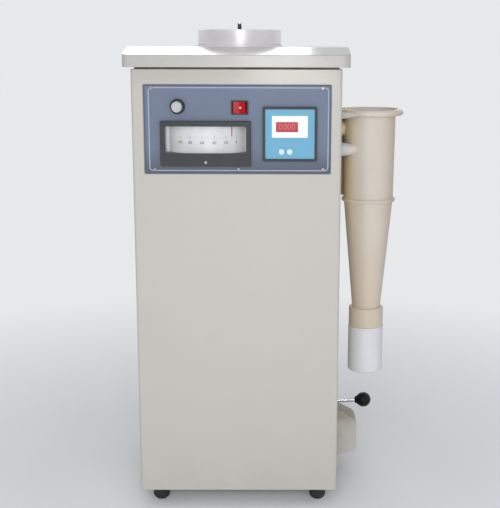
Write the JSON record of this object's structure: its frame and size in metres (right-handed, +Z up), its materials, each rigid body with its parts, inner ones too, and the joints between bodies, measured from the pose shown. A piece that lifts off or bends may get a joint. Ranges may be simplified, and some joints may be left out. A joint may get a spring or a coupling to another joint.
{
  "type": "air jet sieve",
  "caption": "Floor-standing air jet sieve: cabinet with a lidded round sieve on top, panel with gauge, timer, knob and rocker, side cyclone with dust cup, lever and hood.",
  "frame": {"origin": "on the floor under the centre of the cabinet", "axes": "+Z up, +X to the cyclone side, +Y to the back; the control panel faces -Y"},
  "size_m": [0.5142, 0.3844, 0.902],
  "materials": {
    "cabinet_paint": "semi-gloss light warm grey paint",
    "inner_steel": "grey painted steel",
    "panel_blue": "fine-textured blue-grey",
    "satin_aluminium": "satin",
    "chrome": "polished",
    "screw_steel": "zinc plated",
    "mesh_steel": "fine woven wire",
    "black_rubber": "matte",
    "white_silicone": "white",
    "black_plastic": "satin black",
    "black_gloss": "polished black",
    "red_plastic": "glossy red",
    "red_window": "tinted red",
    "white_plastic": "white",
    "blue_face": "printed blue film",
    "button_grey": "pale grey",
    "silver_cap": "spun silver",
    "clear_glass": "clear",
    "clear_lid": "clear acrylic",
    "dial_paper": "matte white",
    "pointer_red": "matte red",
    "cyclone_beige": "beige moulding",
    "cup_white": "white moulding",
    "brass": "turned",
    "filter_cloth": "woven cloth",
    "hose_black": "ribbed hose",
    "motor_grey": "painted casting"
  },
  "bodies": {
    "cabinet": {"base_tray": "inner_steel", "rubber_feet": "black_rubber", "foot_screws": "screw_steel", "cabinet_shell": "cabinet_paint", "rear_panel": "cabinet_paint", "power_inlet": "black_plastic", "case_screws": "screw_steel", "cover_gasket": "black_rubber", "top_cover": "cabinet_paint", "seat_bowl": "satin_aluminium", "seat_gasket": "white_silicone", "nozzle_motor": "motor_grey", "control_panel": "panel_blue", "panel_screws": "screw_steel", "gauge_bezel": "black_plastic", "gauge_glass": "clear_glass", "gauge_case": "inner_steel", "gauge_dial": "dial_paper", "gauge_capsule": "brass", "timer_housing": "black_plastic", "timer_face": "blue_face", "timer_display": "white_plastic", "timer_window": "red_window", "knob_potentiometer": "motor_grey", "switch_housing": "black_plastic", "cyclone_barrel": "cyclone_beige", "cyclone_cone": "cyclone_beige", "cyclone_collar": "cyclone_beige", "cyclone_lid": "cyclone_beige", "vortex_pipe": "cyclone_beige", "cyclone_bracket": "cabinet_paint", "pipe_grommets": "black_rubber", "suction_hose": "hose_black", "pressure_tube": "hose_black", "outlet_hose": "hose_black", "bag_canister": "inner_steel", "canister_lid": "inner_steel", "filter_bag": "filter_cloth", "transfer_hose": "hose_black", "blower_drum": "inner_steel", "blower_motor": "motor_grey", "exhaust_hood": "cabinet_paint"},
    "sieve": {"sieve_frame": "satin_aluminium", "sieve_mesh": "mesh_steel"},
    "sieve_lid": {"sieve_lid": "clear_lid", "lid_knob": "chrome"},
    "nozzle": {"nozzle_arm": "satin_aluminium", "nozzle_shaft": "screw_steel"},
    "pointer": {"gauge_pointer": "pointer_red"},
    "zero_screw": {"gauge_zero_screw": "screw_steel"},
    "timer_button_left": {"timer_button_left": "button_grey"},
    "timer_button_right": {"timer_button_right": "button_grey"},
    "pressure_knob": {"knob_skirt": "black_plastic", "knob_cap": "silver_cap"},
    "rocker": {"switch_rocker": "red_plastic"},
    "dust_cup": {"dust_cup": "cup_white"},
    "shaker": {"shaker_spindle": "screw_steel", "lever_rod": "chrome", "lever_ball": "black_gloss"},
    "fan": {"fan_wheel": "satin_aluminium"}
  },
  "joints": [
    {"name": "sieve_lift", "type": "slide", "parent": "cabinet", "child": "sieve", "axis": [0, 0, 1], "range_m": [0, 0.08]},
    {"name": "lid_lift", "type": "slide", "parent": "sieve", "child": "sieve_lid", "axis": [0, 0, 1], "range_m": [0, 0.05]},
    {"name": "nozzle_spin", "type": "hinge", "parent": "cabinet", "child": "nozzle", "pos_m": [0, 0, 0.826], "axis": [0, 0, 1], "continuous": true},
    {"name": "gauge_pointer_swing", "type": "hinge", "parent": "cabinet", "child": "pointer", "pos_m": [-0.055, -0.09, 0.706], "axis": [0, 0, 1], "range_deg": [-72, 8]},
    {"name": "zero_screw_turn", "type": "hinge", "parent": "cabinet", "child": "zero_screw", "pos_m": [-0.055, -0.18, 0.656], "axis": [0, 1, 0], "range_deg": [-90, 90]},
    {"name": "timer_left_press", "type": "slide", "parent": "cabinet", "child": "timer_button_left", "axis": [0, 1, 0], "range_m": [0, 0.001], "stiffness_N_per_m": 800},
    {"name": "timer_right_press", "type": "slide", "parent": "cabinet", "child": "timer_button_right", "axis": [0, 1, 0], "range_m": [0, 0.001], "stiffness_N_per_m": 800},
    {"name": "pressure_knob_turn", "type": "hinge", "parent": "cabinet", "child": "pressure_knob", "pos_m": [-0.104, -0.18, 0.754], "axis": [0, 1, 0], "range_deg": [0, 300]},
    {"name": "switch_rock", "type": "hinge", "parent": "cabinet", "child": "rocker", "pos_m": [0.0052, -0.1718, 0.752], "axis": [0, 0, 1], "range_deg": [0, 12]},
    {"name": "dust_cup_pull", "type": "slide", "parent": "cabinet", "child": "dust_cup", "axis": [0, 0, -1], "range_m": [0, 0.05]},
    {"name": "shaker_lever_swing", "type": "hinge", "parent": "cabinet", "child": "shaker", "pos_m": [0.088, 0, 0.146], "axis": [0, 0, 1], "range_deg": [-10, 10]},
    {"name": "fan_spin", "type": "hinge", "parent": "cabinet", "child": "fan", "pos_m": [-0.085, 0, 0.156], "axis": [0, 0, 1], "continuous": true}
  ]
}
